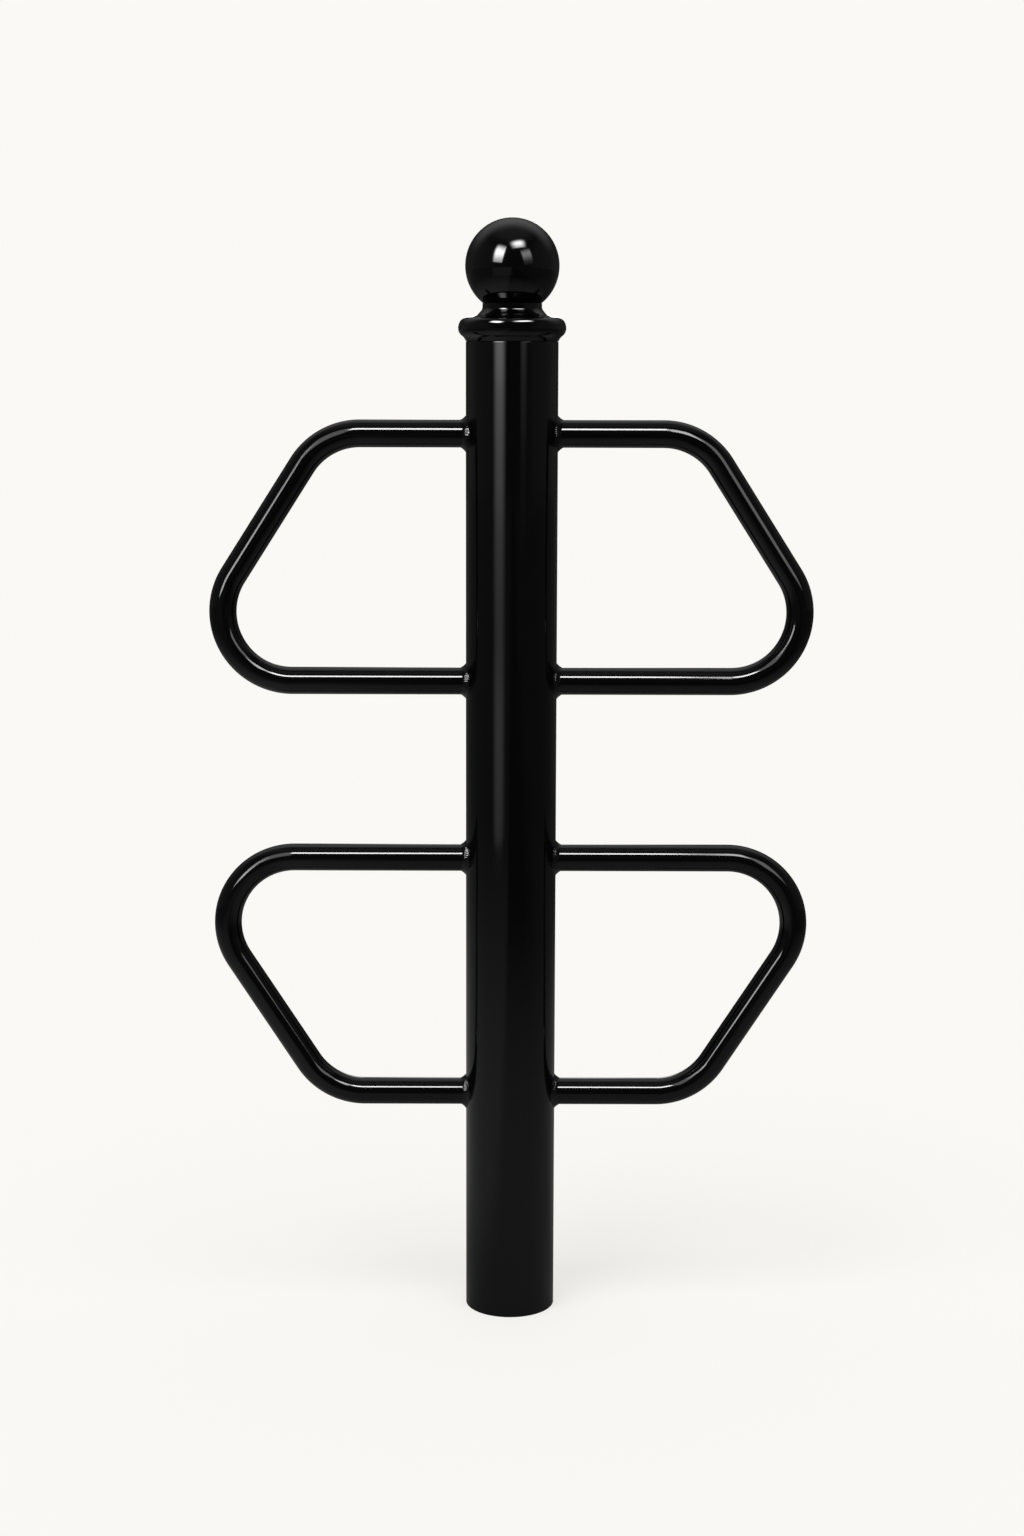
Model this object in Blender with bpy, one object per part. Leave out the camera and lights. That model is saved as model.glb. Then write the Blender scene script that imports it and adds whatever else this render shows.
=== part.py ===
"""A cycle stand: a round steel post with a ball finial and four bent tube loops.

The post stands on the ground with its axis on Z and its foot at the origin. The loops lie in
the X-Z plane, two on each side. A bicycle's frame or wheel leans on them, and its lock goes
through their windows.
"""

import math

import bmesh
import bpy
from mathutils import Matrix, Vector

# Every size is in metres.

# Post: 3 inch nominal steel pipe, cut square at both ends.
POST_DIAMETER = 0.0889
POST_WALL = 0.004
POST_HEIGHT = 0.967
POST_EDGE_ROUND = 0.001

# Loops: 3/4 inch nominal steel pipe, bent twice. A loop has two level arms and one slanted run.
LOOP_DIAMETER = 0.0267
LOOP_WALL = 0.0029
LOOP_BEND_RADIUS = 0.067  # to the tube's centreline
LOOP_ARM_SPACING = 0.240  # between the centrelines of the two arms
LOOP_REACH = 0.2945  # from the post's axis to the outermost point of the tube
LOOP_SLANT = math.radians(57.3)  # of the slanted run, up from level
LOOPS_DROP = 0.0875  # from the post's top to the centreline of the upper pair's top arm
LOOP_PAIRS_GAP = 0.1765  # between the centrelines of the two pairs' facing arms

# Fillet welds round each tube end, slightly hollow between their two toes.
WELD_LEG_ON_LOOP = 0.005
WELD_LEG_ON_POST = 0.0042
WELD_HOLLOW = 0.0003

# Finial cap, from the post's top upwards.
COVE_HEIGHT = 0.0058
COVE_PROJECTION = 0.00285  # of the cove's top edge past the post
COVE_CURVE_RADIUS = 0.012
BEAD_RADIUS = 0.0082
BEAD_PROJECTION = 0.00735  # of the bead's outermost point past the post
DISH_SLOPE = math.radians(8)
NECK_FILLET_RADIUS = 0.0095
NECK_DIAMETER = 0.057
NECK_LENGTH = 0.0037  # of its straight part, from the fillet up to the ball
SPIGOT_LENGTH = 0.040
SPIGOT_CLEARANCE = 0.0004  # between the spigot and the post's bore
SPIGOT_WALL = 0.007
SPIGOT_LEAD_IN = 0.0015
CROWN_THICKNESS = 0.015
CROWN_CORNER_RADIUS = 0.006

# Finial ball and the stud, washer and nut that hold it down.
BALL_DIAMETER = 0.090
STUD_DIAMETER = 0.016
STUD_LENGTH_IN_BALL = 0.022
STUD_LENGTH_PAST_NUT = 0.003
STUD_CHAMFER = 0.0012
WASHER_DIAMETER = 0.030
WASHER_THICKNESS = 0.003
NUT_ACROSS_FLATS = 0.024
NUT_THICKNESS = 0.013

# Set screws at the back of the post, which bite into the spigot.
SCREW_DIAMETER = 0.006
SCREW_KEY_ACROSS_FLATS = 0.003
SCREW_KEY_DEPTH = 0.003
SCREW_SINK = 0.0006  # below the post's surface
SCREW_BITE = 0.0025  # into the spigot
SCREW_DROP = 0.018  # from the post's top to the screw's axis
SCREW_SPREAD = math.radians(30)  # from straight behind, to each side

# The gap that touching pieces keep.
SEAT_GAP = 0.0003

# Facets.
POST_SIDES = 64
CAP_SIDES = 48
BALL_SIDES = 40
LOOP_SIDES = 24
LOOP_BORE_SIDES = 12
FASTENER_SIDES = 24
HEXAGON_SIDES = 6
BEND_STEP = math.radians(10.3)
MERGE_DISTANCE = 0.00001
SMOOTH_ANGLE = math.radians(32)

POST_RADIUS = POST_DIAMETER / 2
POST_BORE_RADIUS = POST_RADIUS - POST_WALL
LOOP_RADIUS = LOOP_DIAMETER / 2
NECK_RADIUS = NECK_DIAMETER / 2
BALL_RADIUS = BALL_DIAMETER / 2
STUD_RADIUS = STUD_DIAMETER / 2
SCREW_RADIUS = SCREW_DIAMETER / 2
STUD_HOLE_RADIUS = STUD_RADIUS + SEAT_GAP
SPIGOT_RADIUS = POST_BORE_RADIUS - SPIGOT_CLEARANCE

# Heights of the middles of the two pairs of loops, from the post's top downwards.
UPPER_LOOPS_Z = POST_HEIGHT - LOOPS_DROP - LOOP_ARM_SPACING / 2
LOWER_LOOPS_Z = UPPER_LOOPS_Z - LOOP_ARM_SPACING - LOOP_PAIRS_GAP

# Heights up the finial, each from the one below it.
SHOULDER_Z = POST_HEIGHT + SEAT_GAP
SPIGOT_BOTTOM_Z = SHOULDER_Z - SPIGOT_LENGTH
COVE_TOP_Z = SHOULDER_Z + COVE_HEIGHT
BEAD_CENTRE_R = POST_RADIUS + BEAD_PROJECTION - BEAD_RADIUS
BEAD_END_ANGLE = -math.acos((POST_RADIUS + COVE_PROJECTION - BEAD_CENTRE_R) / BEAD_RADIUS)
BEAD_CENTRE_Z = COVE_TOP_Z - BEAD_RADIUS * math.sin(BEAD_END_ANGLE)
DISH_FALL = math.tan(DISH_SLOPE)
DISH_OUTER_R = BEAD_CENTRE_R + BEAD_RADIUS * math.sin(DISH_SLOPE)
DISH_OUTER_Z = BEAD_CENTRE_Z + BEAD_RADIUS * math.cos(DISH_SLOPE)
FILLET_CENTRE_R = NECK_RADIUS + NECK_FILLET_RADIUS
DISH_INNER_R = FILLET_CENTRE_R - NECK_FILLET_RADIUS * math.sin(DISH_SLOPE)
DISH_INNER_Z = DISH_OUTER_Z + (DISH_OUTER_R - DISH_INNER_R) * DISH_FALL
NECK_BOTTOM_Z = DISH_INNER_Z + NECK_FILLET_RADIUS * math.cos(DISH_SLOPE)
NECK_TOP_Z = NECK_BOTTOM_Z + NECK_LENGTH
SEAT_RADIUS = BALL_RADIUS + SEAT_GAP
BALL_CENTRE_Z = NECK_TOP_Z + math.sqrt(SEAT_RADIUS**2 - NECK_RADIUS**2)
SEAT_BOTTOM_Z = BALL_CENTRE_Z - math.sqrt(SEAT_RADIUS**2 - STUD_HOLE_RADIUS**2)
CROWN_UNDERSIDE_Z = SEAT_BOTTOM_Z - CROWN_THICKNESS
WASHER_TOP_Z = CROWN_UNDERSIDE_Z - SEAT_GAP
NUT_TOP_Z = WASHER_TOP_Z - WASHER_THICKNESS - SEAT_GAP
STUD_BOTTOM_Z = NUT_TOP_Z - NUT_THICKNESS - STUD_LENGTH_PAST_NUT
STUD_TOP_Z = BALL_CENTRE_Z - BALL_RADIUS + STUD_LENGTH_IN_BALL


def clear_scene():
    for obj in list(bpy.data.objects):
        bpy.data.objects.remove(obj, do_unlink=True)


def give_material(obj, colour, roughness, metallic):
    """Gives the object a Principled material of its own."""
    material = bpy.data.materials.new(obj.name + "_finish")
    material.use_nodes = True
    shader = material.node_tree.nodes["Principled BSDF"]
    shader.inputs["Base Color"].default_value = (*colour, 1.0)
    shader.inputs["Roughness"].default_value = roughness
    shader.inputs["Metallic"].default_value = metallic
    material.diffuse_color = (*colour, 1.0)
    obj.data.materials.clear()
    obj.data.materials.append(material)


def paint_black(obj):
    """Gloss black powder coat."""
    give_material(obj, colour=(0.003, 0.003, 0.004), roughness=0.12, metallic=0.0)


def plate_with_zinc(obj):
    give_material(obj, colour=(0.55, 0.56, 0.58), roughness=0.35, metallic=1.0)


def add_object(name, mesh, parent):
    obj = bpy.data.objects.new(name, mesh)
    bpy.context.scene.collection.objects.link(obj)
    obj.parent = parent
    return obj


def add_empty(name, parent, location=(0, 0, 0), rotation=(0, 0, 0)):
    empty = bpy.data.objects.new(name, None)
    bpy.context.scene.collection.objects.link(empty)
    empty.parent = parent
    empty.location = location
    empty.rotation_euler = rotation
    return empty


def mesh_from(bm, name):
    """Turns a bmesh into a mesh, faces out, with only its real corners sharp."""
    bmesh.ops.recalc_face_normals(bm, faces=bm.faces)
    mesh = bpy.data.meshes.new(name)
    bm.to_mesh(mesh)
    bm.free()
    mesh.shade_smooth()
    mesh.set_sharp_from_angle(angle=SMOOTH_ANGLE)
    return mesh


def as_cutter(obj):
    obj.hide_render = True
    obj.display_type = "WIRE"
    return obj


def cut(obj, cutter):
    modifier = obj.modifiers.new("cut_by_" + cutter.name, "BOOLEAN")
    modifier.operation = "DIFFERENCE"
    modifier.solver = "EXACT"
    modifier.object = cutter


def arc(centre_r, centre_z, radius, start, end, steps):
    """Points on a circle, from the start angle to the end angle, both included."""
    angles = [start + (end - start) * i / steps for i in range(steps + 1)]
    return [(centre_r + radius * math.cos(a), centre_z + radius * math.sin(a)) for a in angles]


def hollow_arc(start, end, radius, steps):
    """Points on the circle through two points that bows towards the axis, ends left out."""
    chord = Vector(end) - Vector(start)
    middle = (Vector(start) + Vector(end)) / 2
    outward = Vector((-chord.y, chord.x)).normalized()
    centre = middle + outward * math.sqrt(radius**2 - (chord.length / 2) ** 2)
    first = Vector(start) - centre
    turn = 2 * math.asin(chord.length / 2 / radius)
    return [
        tuple(centre + Matrix.Rotation(-turn * i / steps, 2) @ first) for i in range(1, steps)
    ]


def turned(name, profile, sides, parent, closed):
    """Turns a profile of (radius, height) points round Z. It runs down the outer side first."""
    count = len(profile)
    points = [(radius, 0, height) for radius, height in profile]
    edges = [(i, i + 1) for i in range(count - 1)]
    if closed:
        edges.append((count - 1, 0))
    mesh = bpy.data.meshes.new(name)
    mesh.from_pydata(points, edges, [])
    obj = add_object(name, mesh, parent)
    screw = obj.modifiers.new("turn", "SCREW")
    screw.axis = "Z"
    screw.angle = math.tau
    screw.steps = sides
    screw.render_steps = sides
    screw.use_merge_vertices = True
    screw.merge_threshold = MERGE_DISTANCE
    return obj


def cylinder(name, radius, length, sides, parent, placing=Matrix.Identity(4)):
    """A cylinder along its own Z from 0 to its length, then placed."""
    bm = bmesh.new()
    upright = Matrix.Translation((0, 0, length / 2))
    bmesh.ops.create_cone(
        bm,
        cap_ends=True,
        segments=sides,
        radius1=radius,
        radius2=radius,
        depth=length,
        matrix=placing @ upright,
    )
    return add_object(name, mesh_from(bm, name), parent)


def make_post(stand):
    """The pipe, with its top outer edge rounded off."""
    rounding = arc(
        POST_RADIUS - POST_EDGE_ROUND,
        POST_HEIGHT - POST_EDGE_ROUND,
        POST_EDGE_ROUND,
        math.radians(90),
        0,
        steps=2,
    )
    wall = [(POST_RADIUS, 0), (POST_BORE_RADIUS, 0), (POST_BORE_RADIUS, POST_HEIGHT)]
    post = turned("post_tube", rounding + wall, POST_SIDES, stand, closed=True)
    paint_black(post)
    return post


def make_cap(stand):
    """The turned collar: cove, bead, dish and neck outside, a cored spigot inside."""
    neck = arc(
        FILLET_CENTRE_R,
        NECK_BOTTOM_Z,
        NECK_FILLET_RADIUS,
        math.radians(180),
        math.radians(270) - DISH_SLOPE,
        steps=5,
    )
    bead = arc(
        BEAD_CENTRE_R,
        BEAD_CENTRE_Z,
        BEAD_RADIUS,
        math.radians(90) - DISH_SLOPE,
        BEAD_END_ANGLE,
        steps=9,
    )
    shoulder = (POST_RADIUS, SHOULDER_Z)
    cove = hollow_arc(bead[-1], shoulder, COVE_CURVE_RADIUS, steps=3)
    spigot = [
        (SPIGOT_RADIUS, SHOULDER_Z),
        (SPIGOT_RADIUS, SPIGOT_BOTTOM_Z + SPIGOT_LEAD_IN),
        (SPIGOT_RADIUS - SPIGOT_LEAD_IN, SPIGOT_BOTTOM_Z),
    ]
    core_radius = SPIGOT_RADIUS - SPIGOT_WALL
    core = [(core_radius, SPIGOT_BOTTOM_Z)]
    core += arc(
        core_radius - CROWN_CORNER_RADIUS,
        CROWN_UNDERSIDE_Z - CROWN_CORNER_RADIUS,
        CROWN_CORNER_RADIUS,
        0,
        math.radians(90),
        steps=2,
    )
    seat = arc(
        0,
        BALL_CENTRE_Z,
        SEAT_RADIUS,
        -math.acos(STUD_HOLE_RADIUS / SEAT_RADIUS),
        -math.acos(NECK_RADIUS / SEAT_RADIUS),
        steps=4,
    )
    profile = neck + bead + cove + [shoulder] + spigot + core
    profile += [(STUD_HOLE_RADIUS, CROWN_UNDERSIDE_Z)] + seat
    cap = turned("finial_cap", profile, CAP_SIDES, stand, closed=True)
    paint_black(cap)
    return cap


def make_ball(stand):
    """The ball, tapped from below for its stud."""
    hole_edge = -math.acos(STUD_HOLE_RADIUS / BALL_RADIUS)
    half_turn_steps = BALL_SIDES // 2
    outside = arc(0, BALL_CENTRE_Z, BALL_RADIUS, math.radians(90), hole_edge, half_turn_steps)
    outside[0] = (0, BALL_CENTRE_Z + BALL_RADIUS)
    hole_top = STUD_TOP_Z + SEAT_GAP
    hole = [(STUD_HOLE_RADIUS, hole_top), (0, hole_top)]
    ball = turned("finial_ball", outside + hole, BALL_SIDES, stand, closed=False)
    paint_black(ball)


def make_ball_fixing(stand):
    """The stud with its washer and nut under the cap's crown."""
    stud_profile = [
        (0, STUD_TOP_Z),
        (STUD_RADIUS - STUD_CHAMFER, STUD_TOP_Z),
        (STUD_RADIUS, STUD_TOP_Z - STUD_CHAMFER),
        (STUD_RADIUS, STUD_BOTTOM_Z + STUD_CHAMFER),
        (STUD_RADIUS - STUD_CHAMFER, STUD_BOTTOM_Z),
        (0, STUD_BOTTOM_Z),
    ]
    stud = turned("finial_stud", stud_profile, FASTENER_SIDES, stand, closed=False)

    washer_radius = WASHER_DIAMETER / 2
    washer_bottom = WASHER_TOP_Z - WASHER_THICKNESS
    washer_profile = [
        (washer_radius, WASHER_TOP_Z),
        (washer_radius, washer_bottom),
        (STUD_HOLE_RADIUS, washer_bottom),
        (STUD_HOLE_RADIUS, WASHER_TOP_Z),
    ]
    washer = turned("finial_washer", washer_profile, FASTENER_SIDES, stand, closed=True)

    corner_radius = NUT_ACROSS_FLATS / 2 / math.cos(math.pi / HEXAGON_SIDES)
    nut_place = Matrix.Translation((0, 0, NUT_TOP_Z - NUT_THICKNESS))
    nut = cylinder("finial_nut", corner_radius, NUT_THICKNESS, HEXAGON_SIDES, stand, nut_place)
    bore_place = Matrix.Translation((0, 0, STUD_BOTTOM_Z))
    bore_length = CROWN_UNDERSIDE_Z - STUD_BOTTOM_Z
    bore = cylinder(
        "nut_bore", STUD_HOLE_RADIUS, bore_length, FASTENER_SIDES, stand, bore_place
    )
    cut(nut, as_cutter(bore))
    for piece in (stud, washer, nut):
        plate_with_zinc(piece)


def make_set_screw(name, side, post, cap, stand):
    """One grub screw, with the hole that it sits in through the post and into the spigot."""
    tip = SPIGOT_RADIUS - SCREW_BITE
    head = POST_RADIUS - SCREW_SINK
    direction = Vector((side * math.sin(SCREW_SPREAD), math.cos(SCREW_SPREAD), 0))
    centre = Vector((0, 0, POST_HEIGHT - SCREW_DROP))
    outward = direction.to_track_quat("Z", "X").to_matrix().to_4x4()

    def along(distance):
        return Matrix.Translation(centre + direction * distance) @ outward

    screw = cylinder(name, SCREW_RADIUS, head - tip, FASTENER_SIDES, stand, along(tip))
    key_radius = SCREW_KEY_ACROSS_FLATS / 2 / math.cos(math.pi / HEXAGON_SIDES)
    key_length = SCREW_KEY_DEPTH + SCREW_SINK
    key = cylinder(
        name + "_key", key_radius, key_length, HEXAGON_SIDES, stand, along(head - SCREW_KEY_DEPTH)
    )
    cut(screw, as_cutter(key))
    plate_with_zinc(screw)

    hole_bottom = tip - SEAT_GAP
    hole_length = POST_RADIUS + POST_WALL - hole_bottom
    hole = cylinder(
        name + "_hole",
        SCREW_RADIUS + SEAT_GAP,
        hole_length,
        FASTENER_SIDES,
        stand,
        along(hole_bottom),
    )
    as_cutter(hole)
    cut(post, hole)
    cut(cap, hole)


def extrude(bm, edges, by):
    """Carries the open end of the tube straight on, and returns its new end."""
    made = bmesh.ops.extrude_edge_only(bm, edges=edges)["geom"]
    points = [item for item in made if isinstance(item, bmesh.types.BMVert)]
    bmesh.ops.translate(bm, verts=points, vec=by)
    return [item for item in made if isinstance(item, bmesh.types.BMEdge) and item.is_boundary]


def bend(bm, edges, centre, angle):
    """Carries the open end of the tube round a bend in the X-Z plane, outwards and down."""
    made = bmesh.ops.spin(
        bm,
        geom=edges,
        cent=centre,
        axis=(0, 1, 0),
        angle=angle,
        steps=math.ceil(angle / BEND_STEP),
    )["geom_last"]
    return [item for item in made if isinstance(item, bmesh.types.BMEdge)]


def sweep_loop_wall(bm, radius, sides):
    """Sweeps a circle along a right-hand loop, wide end down: arm, bend, slanted run, bend, arm.

    Returns the edges of its first and last ends, which both lie inside the post.
    """
    half_spacing = LOOP_ARM_SPACING / 2
    start_x = POST_BORE_RADIUS - LOOP_RADIUS
    wide_bend_x = LOOP_REACH - LOOP_RADIUS - LOOP_BEND_RADIUS
    slant_length = (LOOP_ARM_SPACING - 2 * LOOP_BEND_RADIUS) / math.sin(LOOP_SLANT)
    slant = Vector((math.cos(LOOP_SLANT), 0, -math.sin(LOOP_SLANT))) * slant_length
    narrow_bend_x = wide_bend_x - slant.x

    start = Matrix.Translation((start_x, 0, half_spacing))
    facing_x = Matrix.Rotation(math.radians(90), 4, "Y")
    circle = bmesh.ops.create_circle(
        bm, segments=sides, radius=radius, matrix=start @ facing_x
    )
    first_end = list({edge for vert in circle["verts"] for edge in vert.link_edges})
    end = extrude(bm, first_end, Vector((narrow_bend_x - start_x, 0, 0)))
    end = bend(bm, end, (narrow_bend_x, 0, half_spacing - LOOP_BEND_RADIUS), LOOP_SLANT)
    end = extrude(bm, end, slant)
    end = bend(bm, end, (wide_bend_x, 0, LOOP_BEND_RADIUS - half_spacing), math.pi - LOOP_SLANT)
    end = extrude(bm, end, Vector((start_x - wide_bend_x, 0, 0)))
    return first_end, end


def loop_mesh():
    """A hollow loop for the right side, its middle height at z = 0, not yet coped to the post."""
    bm = bmesh.new()
    outer_ends = sweep_loop_wall(bm, LOOP_RADIUS, LOOP_SIDES)
    outer_faces = set(bm.faces)
    bore_ends = sweep_loop_wall(bm, LOOP_RADIUS - LOOP_WALL, LOOP_BORE_SIDES)
    bore_faces = [face for face in bm.faces if face not in outer_faces]
    bmesh.ops.reverse_faces(bm, faces=bore_faces)
    for outer_end, bore_end in zip(outer_ends, bore_ends):
        bmesh.ops.bridge_loops(bm, edges=outer_end + bore_end)
    return mesh_from(bm, "loop")


def weld_mesh():
    """A fillet weld that follows the saddle where an arm on the right side meets the post.

    The arm's axis is at z = 0. At each angle round the arm the section has four corners: the
    root, the toe on the post, the hollow face's middle and the toe on the arm.
    """
    root_radius = LOOP_RADIUS + SEAT_GAP
    toe_radius = root_radius + WELD_LEG_ON_POST
    face_slope = math.hypot(WELD_LEG_ON_LOOP, WELD_LEG_ON_POST)
    sink_x = WELD_HOLLOW * WELD_LEG_ON_POST / face_slope
    sink_radius = WELD_HOLLOW * WELD_LEG_ON_LOOP / face_slope

    def on_post(radius, angle):
        return math.sqrt((POST_RADIUS + SEAT_GAP) ** 2 - (radius * math.cos(angle)) ** 2)

    rings = []
    for i in range(LOOP_SIDES):
        angle = math.tau * i / LOOP_SIDES
        root_x = on_post(root_radius, angle)
        toe_x = on_post(toe_radius, angle)
        arm_toe_x = root_x + WELD_LEG_ON_LOOP
        middle_x = (toe_x + arm_toe_x) / 2 - sink_x
        middle_radius = (toe_radius + root_radius) / 2 - sink_radius
        section = (
            (root_x, root_radius),
            (toe_x, toe_radius),
            (middle_x, middle_radius),
            (arm_toe_x, root_radius),
        )
        rings.append(
            [(x, radius * math.cos(angle), radius * math.sin(angle)) for x, radius in section]
        )

    bm = bmesh.new()
    rings = [[bm.verts.new(point) for point in ring] for ring in rings]
    for ring, following in zip(rings, rings[1:] + rings[:1]):
        for i, vert in enumerate(ring):
            bm.faces.new((vert, ring[i - 1], following[i - 1], following[i]))
    return mesh_from(bm, "weld")


def make_loops(stand):
    """Four copies of one loop, each coped to the post and welded on at both arms.

    A left loop is a right one turned half round the post, and a lower one is turned upside
    down, so that its wide end is up.
    """
    post_and_gap = as_cutter(
        cylinder("post_and_gap", POST_RADIUS + SEAT_GAP, POST_HEIGHT, POST_SIDES, stand)
    )
    shared_loop = loop_mesh()
    shared_weld = weld_mesh()
    levels = (
        ("upper", UPPER_LOOPS_Z, 0, ("top", "bottom")),
        ("lower", LOWER_LOOPS_Z, math.pi, ("bottom", "top")),
    )
    for level, height, over, arms in levels:
        for side, round_post in (("left", math.pi), ("right", 0)):
            name = level + "_" + side
            place = add_empty(name, stand, (0, 0, height), (over, 0, round_post))
            loop = add_object(name + "_loop", shared_loop.copy(), place)
            cut(loop, post_and_gap)
            paint_black(loop)
            for arm, up in zip(arms, (1, -1)):
                weld = add_object(f"{name}_{arm}_weld", shared_weld.copy(), place)
                weld.location.z = up * LOOP_ARM_SPACING / 2
                paint_black(weld)


def main():
    clear_scene()
    stand = add_empty("stand", None)
    post = make_post(stand)
    cap = make_cap(stand)
    make_ball(stand)
    make_ball_fixing(stand)
    make_set_screw("left_set_screw", -1, post, cap, stand)
    make_set_screw("right_set_screw", 1, post, cap, stand)
    make_loops(stand)
    bpy.context.view_layer.update()


main()
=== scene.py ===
import math

import bmesh
import bpy
import numpy as np
from mathutils import Matrix, Quaternion, Vector


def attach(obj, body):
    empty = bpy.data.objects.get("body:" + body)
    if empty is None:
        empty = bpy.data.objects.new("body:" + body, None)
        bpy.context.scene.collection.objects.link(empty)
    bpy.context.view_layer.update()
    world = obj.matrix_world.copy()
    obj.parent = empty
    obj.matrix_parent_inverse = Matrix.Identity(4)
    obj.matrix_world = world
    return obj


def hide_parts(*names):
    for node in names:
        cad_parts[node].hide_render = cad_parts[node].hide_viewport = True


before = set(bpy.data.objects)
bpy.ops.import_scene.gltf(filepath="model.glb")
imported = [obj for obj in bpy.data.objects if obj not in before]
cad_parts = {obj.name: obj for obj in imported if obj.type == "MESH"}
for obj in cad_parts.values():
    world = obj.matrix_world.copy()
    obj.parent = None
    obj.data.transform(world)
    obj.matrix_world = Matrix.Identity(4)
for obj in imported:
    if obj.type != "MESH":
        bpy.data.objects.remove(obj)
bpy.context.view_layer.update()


# The post. A 3 inch steel pipe with a 4 mm wall, cut square at both ends and stood on the
# ground. Its edges are broken with a file. Two holes at the back take the grub screws that
# hold the finial. The whole stand is welded up first, then powder coated in gloss black.

post_radius = 0.0889 / 2
post_bore_radius = post_radius - 0.004
post_height = 0.967
post_top = post_height + 0.00028  # so close under the cap that no light shows between them
post_top_round = 0.001
post_foot_round = 0.0004
post_bore_round = 0.0003
post_sides = 288
post_row = 0.008

screw_height = post_height - 0.018
screw_bearings = {"left": math.radians(120), "right": math.radians(60)}
screw_hole_radius = 0.0033
screw_hole_break = 0.0003
hole_cells = 6  # of the wall's grid, from a hole's middle to the side of its square
hole_patch_angle = hole_cells * 2 * math.pi / post_sides
hole_patch_height = 0.0058
hole_rings = 5  # of cells from the square's edge in to the hole
edge_support = 0.0003  # from a crease to the row that keeps the wall beside it flat
merge_within = 0.000001


def linear(hex_colour):
    """An sRGB hex colour as linear red, green and blue, and an alpha of 1.

    Each part c from 0 to 1 becomes c / 12.92 up to 0.04045, else ((c + 0.055) / 1.055) ^ 2.4.
    """
    parts = [int(hex_colour[i : i + 2], 16) / 255 for i in (1, 3, 5)]
    return (*(c / 12.92 if c <= 0.04045 else ((c + 0.055) / 1.055) ** 2.4 for c in parts), 1.0)


def add_node(tree, kind, sockets={}, **settings):
    """Adds a node. Each socket takes either a value or the output socket that feeds it."""
    made = tree.nodes.new(kind)
    for name, value in settings.items():
        setattr(made, name, value)
    for socket, value in sockets.items():
        if isinstance(value, bpy.types.NodeSocket):
            tree.links.new(value, made.inputs[socket])
        else:
            made.inputs[socket].default_value = value
    return made


def grid(points, keep=None):
    """The points of an array of rows and columns, with a face in each cell that keep marks."""
    rows, columns = points.shape[:2]
    corner = np.arange(rows * columns).reshape(rows, columns)
    cells = np.stack(
        [corner[:-1, :-1], corner[1:, :-1], corner[1:, 1:], corner[:-1, 1:]], axis=-1
    )
    cells = cells.reshape(-1, 4) if keep is None else cells[keep]
    return points.reshape(-1, 3), cells


def between(first, last, steps):
    """Rows in even steps from one row of points to another, both included."""
    share = np.linspace(0, 1, steps + 1).reshape(-1, 1, 1)
    return first * (1 - share) + last * share


def make_piece(name, patches, sharp_from=35):
    """Joins grids into one closed mesh, faces out, smooth but for its real corners.

    Points that meet within a micron become one, which closes the seams and the poles.
    """
    points, cells, count = [], [], 0
    for patch_points, patch_cells in patches:
        points.append(patch_points)
        cells.append(patch_cells + count)
        count += len(patch_points)
    mesh = bpy.data.meshes.new(name)
    mesh.from_pydata(np.concatenate(points).tolist(), [], np.concatenate(cells).tolist())
    bm = bmesh.new()
    bm.from_mesh(mesh)
    bmesh.ops.remove_doubles(bm, verts=bm.verts, dist=merge_within)
    bmesh.ops.recalc_face_normals(bm, faces=bm.faces)
    bm.to_mesh(mesh)
    bm.free()
    mesh.shade_smooth()
    mesh.set_sharp_from_angle(angle=math.radians(sharp_from))
    piece = bpy.data.objects.new(name, mesh)
    bpy.context.scene.collection.objects.link(piece)
    return piece


def arc(centre, radius, start, end, steps):
    """Profile points centre + radius (cos t, sin t), t in degrees from start to end."""
    turn = np.radians(np.linspace(start, end, steps + 1))
    return np.array(centre) + radius * np.stack([np.cos(turn), np.sin(turn)], axis=-1)


def lathe(profile, sides):
    """Carries (radius, height) points round Z: x = radius cos a, y = radius sin a."""
    radius, height = np.array(profile, float).T[:, :, None]
    turn = np.linspace(0, 2 * math.pi, sides + 1)
    return grid(
        np.stack(
            [radius * np.cos(turn), radius * np.sin(turn), height + 0 * turn], axis=-1
        )
    )


def drill_ring(bearing, ring_radius, depth, around):
    """A ring round a level drill that points out from Z at a bearing.

    A point lies depth out along the drill, ring_radius cos t sideways and ring_radius sin t up.
    """
    sideways = ring_radius * np.cos(around)
    return np.stack(
        [
            depth * math.cos(bearing) - sideways * math.sin(bearing),
            depth * math.sin(bearing) + sideways * math.cos(bearing),
            screw_height + ring_radius * np.sin(around),
        ],
        axis=-1,
    )


def wall_depth(wall_radius, ring_radius, around):
    """How far out the drill's ring meets a round wall: sqrt(wall^2 - sideways^2)."""
    return np.sqrt(wall_radius**2 - (ring_radius * np.cos(around)) ** 2)


# Once round the square of cells that a hole takes the place of, in halves of its sides.
side_steps = np.arange(-hole_cells, hole_cells) / hole_cells
side_ones = np.ones(2 * hole_cells)
square_across = np.concatenate([side_ones, -side_steps, -side_ones, side_steps, [1]])
square_up = np.concatenate([side_steps, side_ones, -side_steps, -side_ones, [-1]])
hole_around = np.arctan2(square_up, square_across)


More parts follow.
